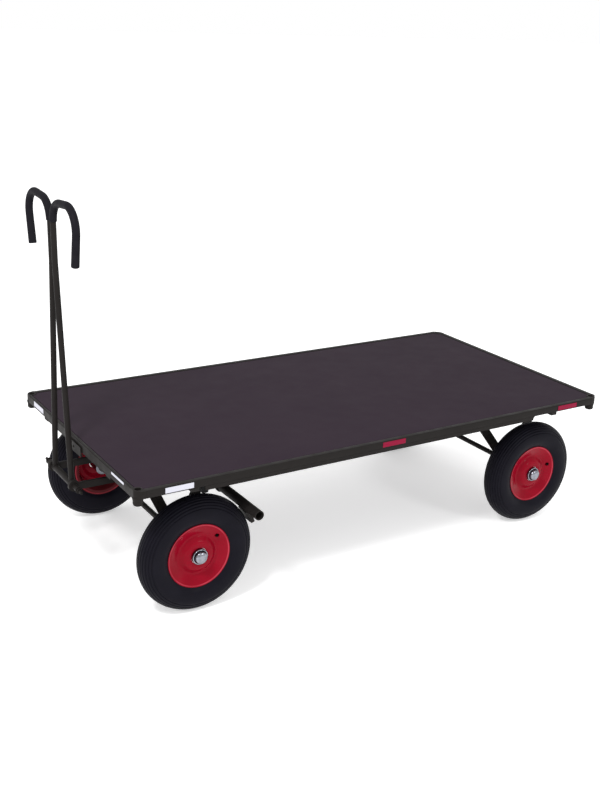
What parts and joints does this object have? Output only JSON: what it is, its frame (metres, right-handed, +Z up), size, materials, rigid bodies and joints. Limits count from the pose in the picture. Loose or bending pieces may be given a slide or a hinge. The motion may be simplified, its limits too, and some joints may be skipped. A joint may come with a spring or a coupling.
{
  "type": "platform truck",
  "caption": "Long flat platform truck on pneumatic tyres: film-faced deck in a steel frame with corner sockets, turntable steering, a folding drawbar with twin hook grips and a parking brake.",
  "frame": {"origin": "on the ground, under the middle of the whole truck's outline with the drawbar upright and the wheels straight", "axes": "+X forward, to the drawbar end; +Y to the left; +Z up"},
  "size_m": [2.0587, 1.06, 1.3419],
  "materials": {
    "frame_paint": "anthracite powder coat, satin, very fine texture",
    "deck_film": "plywood faced with dark brown phenolic film, satin",
    "tyre_rubber": "ribbed pneumatic tyre, matt, slightly blue black",
    "rim_paint": "crimson paint, glossy",
    "bright_steel": "bright zinc or chrome plating",
    "grip_rubber": "black sleeve, matt"
  },
  "bodies": {
    "chassis": {"deck_board": "deck_film", "rail_front": "frame_paint", "rail_rear": "frame_paint", "rail_left": "frame_paint", "rail_right": "frame_paint", "corner_socket_front_left": "frame_paint", "corner_socket_front_right": "frame_paint", "corner_socket_rear_left": "frame_paint", "corner_socket_rear_right": "frame_paint", "side_sill_left": "frame_paint", "side_sill_right": "frame_paint", "front_sill": "frame_paint", "longitudinal_left": "frame_paint", "longitudinal_right": "frame_paint", "cross_member_front": "frame_paint", "cross_member_turntable": "frame_paint", "cross_member_rear": "frame_paint", "drawbar_catch": "frame_paint", "turntable_upper_ring": "frame_paint", "rear_bracket_left": "frame_paint", "rear_bracket_right": "frame_paint", "rear_axle": "frame_paint"},
    "bogie": {"turntable_lower_ring": "frame_paint", "front_bracket_left": "frame_paint", "front_bracket_right": "frame_paint", "bogie_cross_front": "frame_paint", "bogie_cross_rear": "frame_paint", "front_axle": "frame_paint", "drawbar_arm_left": "frame_paint", "drawbar_arm_right": "frame_paint", "hinge_pin": "frame_paint", "brake_shaft": "frame_paint"},
    "drawbar": {"drawbar_sleeve": "frame_paint", "drawbar_tube_left": "frame_paint", "drawbar_tube_right": "frame_paint", "grip_left": "grip_rubber", "grip_right": "grip_rubber"},
    "brake": {"brake_bar": "frame_paint", "brake_arm_left": "frame_paint", "brake_arm_right": "frame_paint", "brake_shoe_left": "frame_paint", "brake_shoe_right": "frame_paint"},
    "wheel_front_left": {"tyre_front_left": "tyre_rubber", "rim_front_left": "rim_paint", "hub_front_left": "bright_steel", "hub_cap_front_left": "bright_steel"},
    "wheel_front_right": {"tyre_front_right": "tyre_rubber", "rim_front_right": "rim_paint", "hub_front_right": "bright_steel", "hub_cap_front_right": "bright_steel"},
    "wheel_rear_left": {"tyre_rear_left": "tyre_rubber", "rim_rear_left": "rim_paint", "hub_rear_left": "bright_steel", "hub_cap_rear_left": "bright_steel"},
    "wheel_rear_right": {"tyre_rear_right": "tyre_rubber", "rim_rear_right": "rim_paint", "hub_rear_right": "bright_steel", "hub_cap_rear_right": "bright_steel"}
  },
  "joints": [
    {"name": "steering", "type": "hinge", "parent": "chassis", "child": "bogie", "pos_m": [0.7136, 0, 0.443], "axis": [0, 0, 1], "range_deg": [-12, 12]},
    {"name": "drawbar_fold", "type": "hinge", "parent": "bogie", "child": "drawbar", "pos_m": [1.0076, 0, 0.38], "axis": [0, 1, 0], "range_deg": [0, 105]},
    {"name": "brake_rock", "type": "hinge", "parent": "bogie", "child": "brake", "pos_m": [0.5826, 0, 0.408], "axis": [0, -1, 0], "range_deg": [0, 2]},
    {"name": "spin_front_left", "type": "hinge", "parent": "bogie", "child": "wheel_front_left", "pos_m": [0.7136, 0.413, 0.206], "axis": [0, 1, 0], "continuous": true},
    {"name": "spin_front_right", "type": "hinge", "parent": "bogie", "child": "wheel_front_right", "pos_m": [0.7136, -0.413, 0.206], "axis": [0, 1, 0], "continuous": true},
    {"name": "spin_rear_left", "type": "hinge", "parent": "chassis", "child": "wheel_rear_left", "pos_m": [-0.7704, 0.413, 0.206], "axis": [0, 1, 0], "continuous": true},
    {"name": "spin_rear_right", "type": "hinge", "parent": "chassis", "child": "wheel_rear_right", "pos_m": [-0.7704, -0.413, 0.206], "axis": [0, 1, 0], "continuous": true}
  ]
}
